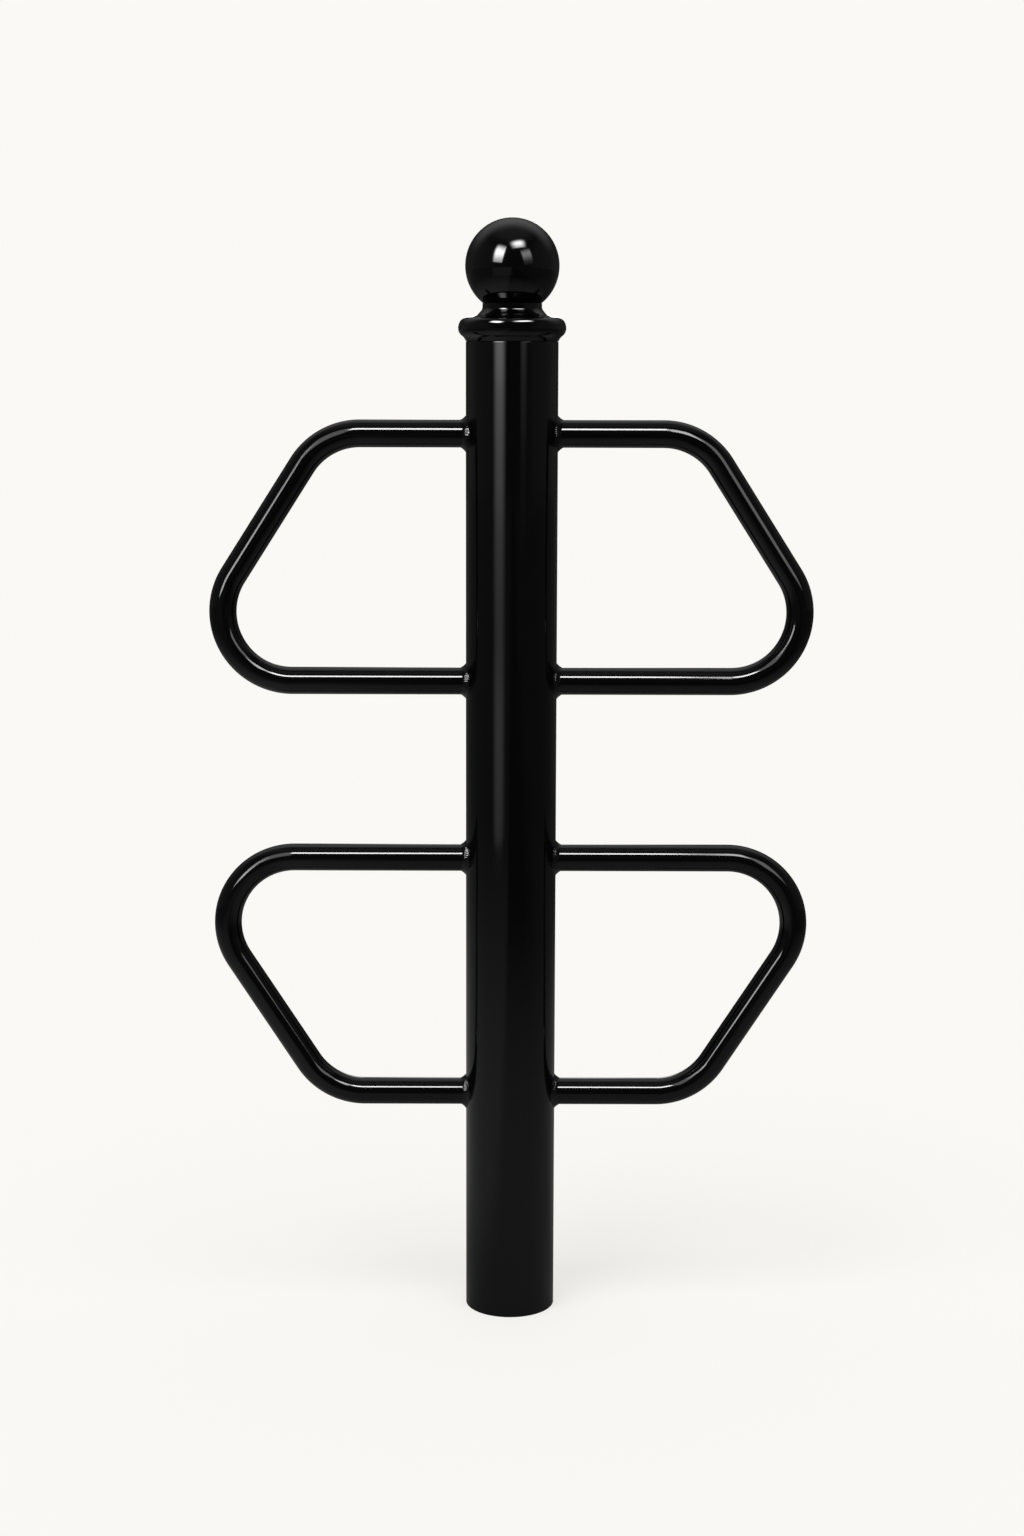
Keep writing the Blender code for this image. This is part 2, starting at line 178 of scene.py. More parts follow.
def pierced_wall(radius, low, high, rim_radius):
    """An upright round wall with the two screw holes, in three grids.

    The wall is a grid of bearing and height with a square of cells left out at each hole. From
    the square's edge to the hole's rim the points slide evenly, in bearing and in height.
    """
    below, above = screw_height - hole_patch_height, screw_height + hole_patch_height
    heights = np.concatenate(
        [
            [low],
            np.linspace(low + edge_support, below, max(2, round((below - low) / post_row))),
            np.linspace(below, above, 2 * hole_cells + 1)[1:],
            np.linspace(above, high - edge_support, 3)[1:],
            [high],
        ]
    )
    bearings = np.linspace(0, 2 * math.pi, post_sides + 1)
    turn, height = np.meshgrid(bearings, heights)
    middle_turn = (turn[:-1, :-1] + turn[1:, 1:]) / 2
    middle_height = (height[:-1, :-1] + height[1:, 1:]) / 2
    keep = np.ones(middle_turn.shape, bool)
    for bearing in screw_bearings.values():
        keep &= (abs(middle_turn - bearing) > hole_patch_angle) | (
            abs(middle_height - screw_height) > hole_patch_height
        )
    patches = [
        grid(np.stack([radius * np.cos(turn), radius * np.sin(turn), height], axis=-1), keep)
    ]
    share = np.linspace(0, 1, hole_rings + 1)[:, None]
    rim_turn = np.arcsin(rim_radius * np.cos(hole_around) / radius)
    rim_up = rim_radius * np.sin(hole_around)
    for bearing in screw_bearings.values():
        turn = bearing + (1 - share) * square_across * hole_patch_angle + share * rim_turn
        height = screw_height + (1 - share) * square_up * hole_patch_height + share * rim_up
        patches.append(
            grid(np.stack([radius * np.cos(turn), radius * np.sin(turn), height], axis=-1))
        )
    return patches


top_end = np.vstack(
    [
        arc(
            (post_radius - post_top_round, post_top - post_top_round),
            post_top_round, 0, 90, steps=8,
        ),
        arc(
            (post_bore_radius + post_bore_round, post_top - post_bore_round),
            post_bore_round, 90, 180, steps=4,
        ),
    ]
)
foot_end = np.vstack(
    [
        arc(
            (post_radius - post_foot_round, post_foot_round),
            post_foot_round, 0, -90, steps=5,
        ),
        arc(
            (post_bore_radius + post_bore_round, post_bore_round),
            post_bore_round, 270, 180, steps=4,
        ),
    ]
)
hole_mouth_radius = screw_hole_radius + screw_hole_break
post_patches = [
    *pierced_wall(
        post_radius, post_foot_round, post_top - post_top_round, hole_mouth_radius
    ),
    *pierced_wall(
        post_bore_radius, post_bore_round, post_top - post_bore_round, screw_hole_radius
    ),
    lathe(top_end, post_sides),
    lathe(foot_end, post_sides),
]
for bearing in screw_bearings.values():
    mouth = drill_ring(
        bearing,
        hole_mouth_radius,
        wall_depth(post_radius, hole_mouth_radius, hole_around),
        hole_around,
    )
    broken = drill_ring(
        bearing,
        screw_hole_radius,
        wall_depth(post_radius, screw_hole_radius, hole_around) - screw_hole_break,
        hole_around,
    )
    far_end = drill_ring(
        bearing,
        screw_hole_radius,
        wall_depth(post_bore_radius, screw_hole_radius, hole_around),
        hole_around,
    )
    post_patches += [
        grid(between(mouth, broken, steps=2)),
        grid(between(broken, far_end, steps=4)),
    ]

post = make_piece("post", post_patches)


coat_drift = 25.0  # patches to the metre: 40 mm
coat_waves = 70.0  # 14 mm
coat_wave_height = 0.00001
orange_peel = 333.0  # 3 mm
orange_peel_height = 0.000003
noise_low, noise_high = 0.3, 0.7  # the range that noise mostly keeps to


def gloss_black_powder_coat():
    """Gloss black polyester powder coat, baked on over the welds.

    To the eye it is a deep black under a clear mirror. The baked film has a faint orange peel
    about 3 mm across and a few microns high, lies in slow waves over the steel, and its gloss
    and blackness drift a little over some centimetres.
    """
    paint = bpy.data.materials.new("gloss_black_powder_coat")
    paint.use_nodes = True
    tree = paint.node_tree
    shader = tree.nodes["Principled BSDF"]
    place = add_node(tree, "ShaderNodeTexCoord").outputs["Object"]
    drift = add_node(
        tree, "ShaderNodeTexNoise", {"Vector": place, "Scale": coat_drift, "Detail": 3.0}
    ).outputs["Fac"]
    colour = add_node(
        tree,
        "ShaderNodeMix",
        {"Factor": drift, 6: linear("#010102"), 7: linear("#040405")},
        data_type="RGBA",
    )
    roughness = add_node(
        tree,
        "ShaderNodeMapRange",
        {
            "Value": drift,
            "From Min": noise_low,
            "From Max": noise_high,
            "To Min": 0.06,
            "To Max": 0.09,
        },
    )
    peel = add_node(
        tree, "ShaderNodeTexNoise", {"Vector": place, "Scale": orange_peel, "Detail": 1.0}
    ).outputs["Fac"]
    waves = add_node(
        tree, "ShaderNodeTexNoise", {"Vector": place, "Scale": coat_waves, "Detail": 0.0}
    ).outputs["Fac"]
    wavy = add_node(
        tree,
        "ShaderNodeBump",
        {"Strength": 1.0, "Distance": coat_wave_height, "Height": waves},
    ).outputs[0]
    peeled = add_node(
        tree,
        "ShaderNodeBump",
        {"Strength": 1.0, "Distance": orange_peel_height, "Height": peel, "Normal": wavy},
    )
    tree.links.new(colour.outputs[2], shader.inputs["Base Color"])
    tree.links.new(roughness.outputs[0], shader.inputs["Roughness"])
    tree.links.new(peeled.outputs[0], shader.inputs["Normal"])
    shader.inputs["IOR"].default_value = 1.5
    return paint


powder_coat = gloss_black_powder_coat()
post.data.materials.append(powder_coat)
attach(post, "root")
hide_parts("post_tube")


# The finial's cap. An iron casting, turned all over: a cove up from the post's rim, a bead, a
# dished top and a short neck with a cup for the ball. Its cored spigot slides into the post.

seat_gap = 0.0003
cap_sides = 288
cove_height = 0.0050
cove_out = post_radius + 0.0040
cove_curve = 0.012
bead_out = post_radius + 0.00735
bead_radius = 0.0094
bead_side_radius = 0.0124
bead_corner_radius = 0.0077
bead_corner_from = 30  # degrees up from level, where the bead's side turns into its corner
bead_centre_r = bead_out - bead_radius
dish_slope = 9  # degrees up from level
neck_radius = 0.057 / 2
neck_top_height = 0.03548
neck_curves = [(0.0047, 34), (0.0234, 45), (0.0070, 73)]  # radius, and lean at its end
spigot_radius = post_bore_radius - 0.0004
spigot_bottom = post_height + seat_gap - 0.040
spigot_lead_in = 0.0015
core_radius = spigot_radius - 0.007
crown_corner = 0.006
crown_thickness = 0.015
stud_hole_radius = 0.016 / 2 + seat_gap
ball_radius = 0.090 / 2
cup_radius = ball_radius + seat_gap
screw_pocket_bottom = spigot_radius - 0.0025 - seat_gap

shoulder = post_height + seat_gap
bead_end = -math.degrees(math.acos((cove_out - bead_centre_r) / bead_radius))
bead_z = shoulder + cove_height - bead_radius * math.sin(math.radians(bead_end))
neck_top = shoulder + neck_top_height
ball_z = neck_top + math.sqrt(cup_radius**2 - neck_radius**2)
crown_underside = ball_z - math.sqrt(cup_radius**2 - stud_hole_radius**2) - crown_thickness


def straight(start, end):
    """The inner points of a straight run: one close to each end, so that it shades flat."""
    start, end = np.array(start), np.array(end)
    support = (end - start) / np.linalg.norm(end - start) * edge_support
    return np.array([start + support, end - support])


def hollow(start, end, radius, steps):
    """Profile points on the circle of this radius through both points that bows to the axis."""
    start, end = np.array(start), np.array(end)
    half = (end - start) / 2
    across = np.array([-half[1], half[0]]) / np.linalg.norm(half)
    centre = start + half + across * math.sqrt(radius**2 - half @ half)
    first, last = start - centre, end - centre
    begin, finish = (math.degrees(math.atan2(v[1], v[0])) for v in (first, last))
    if begin - finish > 180:
        finish += 360
    if finish - begin > 180:
        begin += 360
    return arc(centre, radius, begin, finish, steps)


# The bead, from the dish down: a tight upper corner, a flat side and a rounder underside.
corner_turn = math.radians(bead_corner_from)
bead_side = np.array([bead_out - bead_side_radius, bead_z])
bead_corner = bead_side + (bead_side_radius - bead_corner_radius) * np.array(
    [math.cos(corner_turn), math.sin(corner_turn)]
)
bead = np.vstack(
    [
        arc(bead_corner, bead_corner_radius, 90 - dish_slope, bead_corner_from, steps=20),
        arc(bead_side, bead_side_radius, bead_corner_from, 0, steps=10)[1:],
        arc((bead_centre_r, bead_z), bead_radius, 0, bead_end, steps=20)[1:],
    ]
)


def flared(start, curve, lean, next_lean):
    """Profile points of a hollow arc down and out, as the wall's lean grows to the next one."""
    turn = math.radians(lean)
    centre = start + curve * np.array([math.cos(turn), math.sin(turn)])
    return arc(centre, curve, 180 + lean, 180 + next_lean, steps=12)[1:]


# The neck's flare, from its straight part down and out: three hollow arcs, and a shallow one,
# the dish, that reaches the bead.
neck = np.array([[neck_radius, 0.0]])
lean = 0
for curve, next_lean in neck_curves:
    neck = np.vstack([neck, flared(neck[-1], curve, lean, next_lean)])
    lean = next_lean
dish_lean = 90 - dish_slope
dish_curve = (bead[0, 0] - neck[-1, 0]) / (
    math.cos(math.radians(lean)) - math.cos(math.radians(dish_lean))
)
neck = np.vstack([neck, flared(neck[-1], dish_curve, lean, dish_lean)])
neck += bead[0] - neck[-1]
cove = hollow(bead[-1], (post_radius, shoulder), cove_curve, steps=10)
cup = arc(
    (0, ball_z),
    cup_radius,
    -math.degrees(math.acos(stud_hole_radius / cup_radius)),
    -math.degrees(math.acos(neck_radius / cup_radius)),
    steps=24,
)
cap_outside = np.vstack(
    [
        [neck_radius, neck_top],
        straight((neck_radius, neck_top), neck[0]),
        neck,
        bead[1:],
        cove[1:],
        [spigot_radius, shoulder],
    ]
)
cap_inside = np.vstack(
    [
        [spigot_radius, spigot_bottom + spigot_lead_in],
        [spigot_radius - spigot_lead_in, spigot_bottom],
        [core_radius, spigot_bottom],
        straight((core_radius, spigot_bottom), (core_radius, crown_underside - crown_corner)),
        arc(
            (core_radius - crown_corner, crown_underside - crown_corner),
            crown_corner, 0, 90, steps=8,
        ),
        [stud_hole_radius, crown_underside],
        cup,
    ]
)
cap_patches = [
    lathe(cap_outside, cap_sides),
    lathe(cap_inside, cap_sides),
    *pierced_wall(
        spigot_radius, spigot_bottom + spigot_lead_in, shoulder, screw_hole_radius
    ),
]
for bearing in screw_bearings.values():
    mouth = drill_ring(
        bearing,
        screw_hole_radius,
        wall_depth(spigot_radius, screw_hole_radius, hole_around),
        hole_around,
    )
    bottom = drill_ring(bearing, screw_hole_radius, screw_pocket_bottom, hole_around)
    middle = drill_ring(bearing, 0.0, screw_pocket_bottom, hole_around)
    cap_patches += [
        grid(between(mouth, bottom, steps=3)),
        grid(between(bottom, middle, steps=3)),
    ]

cap = make_piece("finial_cap_turned", cap_patches)
cap.data.materials.append(powder_coat)
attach(cap, "root")
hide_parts("finial_cap")


# The ball. 90 mm of cast iron, turned and polished smooth before it is coated, tapped from
# below for the stud that holds it down in the cap's cup.

ball_sides = 256
ball_rows = 160
stud_top = ball_z - ball_radius + 0.022

ball_outside = arc(
    (0, ball_z),
    ball_radius,
    90,
    -math.degrees(math.acos(stud_hole_radius / ball_radius)),
    steps=ball_rows,
)
ball_hole = [(stud_hole_radius, stud_top + seat_gap), (0, stud_top + seat_gap)]
ball = make_piece("ball", [lathe(np.vstack([ball_outside, ball_hole]), ball_sides)])
ball.data.materials.append(powder_coat)
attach(ball, "root")
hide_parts("finial_ball")


# The ball's fixing: an M16 stud, a washer and a nut inside the cap's core. Plain steel
# fasteners, bright zinc plated. They stay as the model has them and get their finish here.

zinc_grain = 1000.0  # clouds to the metre: 1 mm
zinc_grain_height = 0.00001
zinc_stain = 160.0  # 6 mm


def bright_zinc_plate():
    """Electroplated zinc with a clear passivation.

    To the eye it is a pale bluish metal, less sharp than chrome, with a fine cloudy grain
    about 1 mm across and broad faint stains.
    """
    zinc = bpy.data.materials.new("bright_zinc_plate")
    zinc.use_nodes = True
    tree = zinc.node_tree
    shader = tree.nodes["Principled BSDF"]
    place = add_node(tree, "ShaderNodeTexCoord").outputs["Object"]
    grain = add_node(
        tree, "ShaderNodeTexNoise", {"Vector": place, "Scale": zinc_grain, "Detail": 2.0}
    ).outputs["Fac"]
    stain = add_node(
        tree, "ShaderNodeTexNoise", {"Vector": place, "Scale": zinc_stain, "Detail": 3.0}
    ).outputs["Fac"]
    colour = add_node(
        tree,
        "ShaderNodeMix",
        {"Factor": stain, 6: linear("#C4C8CE"), 7: linear("#D2D2CC")},
        data_type="RGBA",
    )
    roughness = add_node(
        tree,
        "ShaderNodeMapRange",
        {
            "Value": grain,
            "From Min": noise_low,
            "From Max": noise_high,
            "To Min": 0.24,
            "To Max": 0.38,
        },
    )
    grained = add_node(
        tree,
        "ShaderNodeBump",
        {"Strength": 0.6, "Distance": zinc_grain_height, "Height": grain},
    )
    tree.links.new(colour.outputs[2], shader.inputs["Base Color"])
    tree.links.new(roughness.outputs[0], shader.inputs["Roughness"])
    tree.links.new(grained.outputs[0], shader.inputs["Normal"])
    shader.inputs["Metallic"].default_value = 1.0
    return zinc


zinc_plate = bright_zinc_plate()
for name in ("finial_stud", "finial_washer", "finial_nut"):
    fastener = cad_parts[name]
    fastener.data.materials.clear()
    fastener.data.materials.append(zinc_plate)


# Two M6 grub screws at the back of the post. Each sits 0.6 mm below the paint, bites into the
# cap's spigot with its point, and has a 3 mm hexagon socket for the key.

screw_radius = 0.003
screw_head = post_radius - 0.0006
screw_tip = spigot_radius - 0.0025
screw_chamfer = 0.0004
screw_point = 0.0011
socket_across_flats = 0.003
socket_depth = 0.003
socket_cone = 0.0006
socket_break = 0.0001
screw_around = np.linspace(0, 2 * math.pi, 97)


def hexagon_reach(across_flats, around):
    """A hexagon's radius at each angle: half its width over flats / cos(angle from a flat)."""
    off_flat = (around + math.pi / 6) % (math.pi / 3) - math.pi / 6
    return across_flats / 2 / np.cos(off_flat)


for side, bearing in screw_bearings.items():
    socket = hexagon_reach(socket_across_flats, screw_around)
    rings = [
        (screw_point, screw_tip),
        (screw_radius, screw_tip + screw_radius - screw_point),
        (screw_radius, screw_head - screw_chamfer),
        (screw_radius - screw_chamfer, screw_head),
        (socket + socket_break, screw_head),
        (socket, screw_head - socket_break),
        (socket, screw_head - socket_depth),
        (0 * socket, screw_head - socket_depth - socket_cone),
    ]
    lines = [drill_ring(bearing, *ring, screw_around) for ring in rings]
    point = drill_ring(bearing, 0.0, screw_tip, screw_around)
    screw = make_piece(
        side + "_grub_screw",
        [grid(np.stack([point, lines[0]]))]
        + [grid(between(first, last, steps=2)) for first, last in zip(lines, lines[1:])],
        sharp_from=25,
    )
    screw.data.materials.append(zinc_plate)
    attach(screw, "root")
    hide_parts(side + "_set_screw")


# The four loops. Thin 26.7 mm steel pipe, bent round a 67 mm former twice, so that a level
# arm, a slanted run and a second level arm follow one another. Both ends are coped to the
# post. A left loop is a right one turned half round the post, a lower one is turned over.

loop_radius = 0.0267 / 2
loop_bore_radius = loop_radius - 0.0029
bend_radius = 0.067
arm_spacing = 0.240
loop_reach = 0.2945
loop_slant = math.radians(57.3)
upper_loops_z = post_height - 0.0875 - arm_spacing / 2
lower_loops_z = upper_loops_z - arm_spacing - 0.1765
loop_sides = 96
bend_step = math.radians(1.8)
cope_radius = post_radius + seat_gap

wide_bend = np.array([loop_reach - loop_radius - bend_radius, bend_radius - arm_spacing / 2])
slanted_length = (arm_spacing - 2 * bend_radius) / math.sin(loop_slant)
narrow_bend = np.array([wide_bend[0] - slanted_length * math.cos(loop_slant), -wide_bend[1]])


def loop_line():
    """The loop's centreline as heading, x and z, from the top arm round to the bottom arm.

    The heading t is the angle below +X. In a bend the point is centre + bend radius
    (sin t, cos t); a straight run joins the bends, with a point close to each of its ends.
    """
    arm_start = np.array([cope_radius, arm_spacing / 2])

    def bend(centre, start, end):
        turn = np.linspace(start, end, round((end - start) / bend_step) + 1)
        return turn, centre + bend_radius * np.stack([np.sin(turn), np.cos(turn)], axis=-1)

    def run(start, end, heading, steps):
        share = np.linspace(0, 1, steps + 1)[:, None]
        near = straight(start, end)
        points = near[0] * (1 - share) + near[1] * share
        return np.full(len(points), heading), points

    first_turn, first_bend = bend(narrow_bend, 0, loop_slant)
    second_turn, second_bend = bend(wide_bend, loop_slant, math.pi)
    parts = [
        run(arm_start, first_bend[0], 0, steps=12),
        (first_turn, first_bend),
        run(first_bend[-1], second_bend[0], loop_slant, steps=10),
        (second_turn, second_bend),
        run(second_bend[-1], arm_start * [1, -1], math.pi, steps=16),
    ]
    heading = np.concatenate([part[0] for part in parts])
    points = np.concatenate([part[1] for part in parts])
    return heading[:, None], points[:, :1], points[:, 1:]


def loop_wall(radius, sides):
    """Carries a circle along the loop's centreline, and copes its two ends to the post.

    At angle a round the pipe a point is radius sin a towards +Y and radius cos a along the
    outward normal (sin t, cos t). At the ends x is sqrt(cope radius^2 - y^2).
    """
    around = np.linspace(0, 2 * math.pi, sides + 1)
    heading, x, z = loop_line()
    out = radius * np.cos(around)
    y = radius * np.sin(around) + 0 * heading
    wall = np.stack([x + out * np.sin(heading), y, z + out * np.cos(heading)], axis=-1)
    wall[[0, -1], :, 0] = np.sqrt(cope_radius**2 - y[0] ** 2)
    return wall


def turned_over(points, pair, side):
    """Turns a right-hand upper shape half round X for a lower loop, half round Z for a left."""
    points = points * ([1, 1, 1] if pair == "upper" else [1, -1, -1])
    points = points * ([1, 1, 1] if side == "right" else [-1, -1, 1])
    return points + [0, 0, upper_loops_z if pair == "upper" else lower_loops_z]


loop_outside = loop_wall(loop_radius, loop_sides)
loop_inside = loop_wall(loop_bore_radius, loop_sides)
loop_surfaces = [
    loop_outside,
    loop_inside,
    np.stack([loop_outside[0], loop_inside[0]]),
    np.stack([loop_outside[-1], loop_inside[-1]]),
]

loops = []
for pair in ("upper", "lower"):
    for side in ("left", "right"):
        loop = make_piece(
            f"{pair}_{side}_bent_pipe",
            [grid(turned_over(surface, pair, side)) for surface in loop_surfaces],
        )
        loop.data.materials.append(powder_coat)
        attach(loop, "root")
        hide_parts(f"{pair}_{side}_loop")
        loops.append(loop)


# The eight fillet welds, one round each coped end. Run by hand in one pass, about 5 mm along
# the pipe and 4 mm on the post, slightly hollow, with the ripples still plain under the coat.

weld_leg_on_loop = 0.005
weld_leg_on_post = 0.0042
weld_hollow = 0.0005
weld_ripple = 0.00014
ripples_round = 43
weld_steps = ripples_round * 9
weld_rows = 14
weld_sink = 0.0004
weld_wander = 0.0002
wander_waves = (2, 3, 7)  # times round the pipe
ripple_bow = 2.2  # how far, in radians, a ripple's ends run ahead of its middle


def weld_bead(seed):
    """A fillet weld round the saddle of a right-hand arm on the X axis, as a closed ring.

    Across the face, v runs from the toe on the post to the toe on the pipe: a straight line,
    less hollow * 4 v (1 - v), plus ripple * sqrt(sin(pi v)) * |sin| of half the ripple's phase.
    Round the pipe both toes wander by three slow sine waves. The back of the ring is sunk in
    the metal.
    """
    draw = np.random.default_rng(seed)
    around = np.linspace(0, 2 * math.pi, weld_steps + 1)
    phases = draw.uniform(0, 2 * math.pi, (2, len(wander_waves)))
    waves = np.array(wander_waves)[:, None]
    wander = [
        weld_wander * np.sin(waves * around + phase[:, None]).sum(axis=0) / 2 for phase in phases
    ]
    v = np.linspace(0, 1, weld_rows + 1)[:, None]
    toe_radius = loop_radius + weld_leg_on_post + wander[0]
    toe_x = np.sqrt(post_radius**2 - (toe_radius * np.cos(around)) ** 2)
    root_x = np.sqrt(post_radius**2 - (loop_radius * np.cos(around)) ** 2)
    arm_toe_x = root_x + weld_leg_on_loop + wander[1]
    x = toe_x * (1 - v) + arm_toe_x * v
    radius = toe_radius * (1 - v) + loop_radius * v
    lean = math.hypot(weld_leg_on_loop, weld_leg_on_post)
    swell = np.sqrt(np.sin(math.pi * v))
    phase = ripples_round * around + ripple_bow * (2 * v - 1) ** 2
    height = weld_ripple * swell * np.abs(np.sin(phase / 2)) - weld_hollow * 4 * v * (1 - v)
    x = x + height * weld_leg_on_post / lean
    radius = radius + height * weld_leg_on_loop / lean
    back_x = np.stack([arm_toe_x, root_x - weld_sink, toe_x - weld_sink, toe_x])
    sunk_radius = np.full_like(around, loop_radius - weld_sink)
    back_radius = np.stack([sunk_radius, sunk_radius, toe_radius, toe_radius])
    x = np.concatenate([x, back_x])
    radius = np.concatenate([radius, back_radius])
    return np.stack([x, radius * np.cos(around), radius * np.sin(around)], axis=-1)


welds = []
for pair in ("upper", "lower"):
    for side in ("left", "right"):
        for arm in ("top", "bottom"):
            bead_points = weld_bead(len(welds) + 1)
            at_top = (arm == "top") == (pair == "upper")
            bead_points[..., 2] += arm_spacing / 2 * (1 if at_top else -1)
            weld = make_piece(
                f"{pair}_{side}_{arm}_weld_bead",
                [grid(turned_over(bead_points, pair, side))],
                sharp_from=50,
            )
            weld.data.materials.append(powder_coat)
            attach(weld, "root")
            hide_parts(f"{pair}_{side}_{arm}_weld")
            welds.append(weld)


# The studio's floor. Plain pale paper, matt, that runs out of sight into a backdrop of the same
# colour and shows the stand's two faint shadows.

backdrop = linear("#FAF9F5")
floor_grey = 0.30
key_level = 0.30
fill_level = 0.15
room_light = 0.58
floor_reach = 14.0

# Painted light in the gloss: the paper's grey that the gloss paint mirrors is painted lighter
# round the foot and more to the sides, more so to the left, and darker far off, standing in for
# lamp light that falls off. Each fade is where it starts and ends, in metres, and the share
# there.
painted_light_round_foot = (0.45, 2.0, 0.62, 0.10)
painted_light_left = (-0.1, -0.4, 0.0, 0.33)
painted_light_right = (0.8, 2.5, 0.0, 0.22)
painted_light_far_dimming = (1.6, 2.8, 1.0, 0.42)


def pale_studio_floor():
    """Matt pale paper that shows the soft shadows.

    The camera sees the backdrop's colour less the light that the paper would scatter, plus
    the light that it does scatter, so only the shadows differ from the backdrop. The gloss
    paint mirrors the scattered light alone, from a grey painted lighter round the stand and
    darker away from it: a painted pool of light.
    """
    paper = bpy.data.materials.new("pale_studio_paper")
    paper.use_nodes = True
    tree = paper.node_tree
    tree.nodes.remove(tree.nodes["Principled BSDF"])
    rays = add_node(tree, "ShaderNodeLightPath").outputs
    place = add_node(tree, "ShaderNodeTexCoord").outputs["Object"]
    distance = add_node(
        tree, "ShaderNodeVectorMath", {0: place}, operation="LENGTH"
    ).outputs["Value"]
    across = add_node(tree, "ShaderNodeSeparateXYZ", {0: place}).outputs["X"]
    # Painted light: these masks paint the paper lighter round the foot and to the sides, and
    # darker far off, as the gloss paint sees it.
    foot, left, right, sides = (
        add_node(
            tree,
            "ShaderNodeMapRange",
            {
                "Value": value,
                "From Min": start,
                "From Max": end,
                "To Min": start_share,
                "To Max": end_share,
            },
            interpolation_type="SMOOTHSTEP",
        ).outputs[0]
        for value, (start, end, start_share, end_share) in (
            (distance, painted_light_round_foot),
            (across, painted_light_left),
            (across, painted_light_right),
            (distance, painted_light_far_dimming),
        )
    )
    painted_side_light = add_node(tree, "ShaderNodeMath", {0: left, 1: right}).outputs[0]
    mirrored = add_node(
        tree, "ShaderNodeMath", {0: painted_side_light, 1: sides, 2: foot}, operation="MULTIPLY_ADD"
    ).outputs[0]
    # Glossy rays see the paper's grey times the painted light mask; all other rays see the plain
    # grey.
    share = add_node(
        tree, "ShaderNodeMix", {"Factor": rays["Is Glossy Ray"], 2: 1.0, 3: mirrored}
    ).outputs[0]
    grey = add_node(
        tree, "ShaderNodeVectorMath", {0: (floor_grey,) * 3, 3: share}, operation="SCALE"
    )
    diffuse = add_node(tree, "ShaderNodeBsdfDiffuse", {"Color": grey.outputs[0]})
    scattered = floor_grey * (key_level + fill_level + room_light)
    seen = tuple(part - scattered for part in backdrop[:3]) + (1.0,)
    glow = add_node(
        tree, "ShaderNodeEmission", {"Color": seen, "Strength": rays["Is Camera Ray"]}
    )
    both = add_node(
        tree, "ShaderNodeAddShader", {0: diffuse.outputs[0], 1: glow.outputs[0]}
    )
    tree.links.new(both.outputs[0], tree.nodes["Material Output"].inputs["Surface"])
    return paper


floor_rings = [(radius, 0.0) for radius in (0.0, *np.geomspace(0.02, floor_reach, 30))]
floor = make_piece("floor", [lathe(floor_rings, sides=128)])
floor.data.materials.append(pale_studio_floor())


# The world is the room: the backdrop's colour to the camera, and an even light for matt
# colours. The gloss mirrors a dark room that is a little paler to the sides and overhead, with
# a pale wall high up behind the stand.

room_dark = 0.04

world = bpy.data.worlds.new("studio_room")
bpy.context.scene.world = world
world.use_nodes = True
tree = world.node_tree
rays = add_node(tree, "ShaderNodeLightPath").outputs
heading = add_node(tree, "ShaderNodeTexCoord").outputs["Generated"]
compass = add_node(tree, "ShaderNodeSeparateXYZ", {0: heading}).outputs
sideways = add_node(tree, "ShaderNodeMath", {0: compass["X"]}, operation="ABSOLUTE").outputs[0]

# What is added to the dark, each as its level and the ways it grows: a part of the heading, and
# that part's value where it is still dark and where it is full.
sides = (0.06, [(sideways, 0.5, 0.9)])
overhead = (0.14, [(compass["Z"], 0.75, 0.97)])
back_wall = (0.52, [(compass["Y"], 0.05, 0.6), (compass["Z"], 0.25, 0.85)])
mirrored = room_dark
for level, ways in (sides, overhead, back_wall):
    for way, dark, full in ways:
        level = add_node(
            tree,
            "ShaderNodeMapRange",
            {"Value": way, "From Min": dark, "From Max": full, "To Max": level},
            interpolation_type="SMOOTHSTEP",
        ).outputs[0]
    mirrored = add_node(tree, "ShaderNodeMath", {0: level, 1: mirrored}).outputs[0]
lit = add_node(
    tree,
    "ShaderNodeMix",
    {"Factor": rays["Is Glossy Ray"], 2: room_light, 3: mirrored},
).outputs[0]
strength = add_node(
    tree, "ShaderNodeMix", {"Factor": rays["Is Camera Ray"], 2: lit, 3: 1.0}
).outputs[0]
tint = add_node(
    tree,
    "ShaderNodeMix",
    {"Factor": rays["Is Camera Ray"], 6: (1.0, 1.0, 1.0, 1.0), 7: backdrop},
    data_type="RGBA",
).outputs[2]
tree.links.new(tint, tree.nodes["Background"].inputs["Color"])
tree.links.new(strength, tree.nodes["Background"].inputs["Strength"])


# The lamps. Two wide soft ones light matt colours evenly and throw the two faint shadows. The
# others are the bright panels that the gloss paint mirrors, each set to the pieces it is for.

soft_angle = math.radians(24)
panel_distance = 2.4
panel_height = 0.6
panel_aim = Vector((0, 0, panel_height))


def from_stand(bearing, rise, distance, height=0.0):
    """A place this far off, at a bearing from the camera's side, right positive, and a rise."""
    turn, up = math.radians(bearing), math.radians(rise)
    away = distance * math.cos(up)
    z = height + distance * math.sin(up)
    return Vector((away * math.sin(turn), -away * math.cos(turn), z))


def wide_lamp(name, bearing, rise, level):
    """A soft lamp far off in this direction that lights level ground to this level."""
    data = bpy.data.lights.new(name, "SUN")
    data.angle = soft_angle
    data.energy = level * math.pi / math.sin(math.radians(rise))
    lamp = bpy.data.objects.new(name, data)
    bpy.context.scene.collection.objects.link(lamp)
    lamp.location = from_stand(bearing, rise, distance=6.0)
    lamp.rotation_euler = (-lamp.location).to_track_quat("-Z", "Y").to_euler()
    lamp.visible_glossy = False
    return lamp


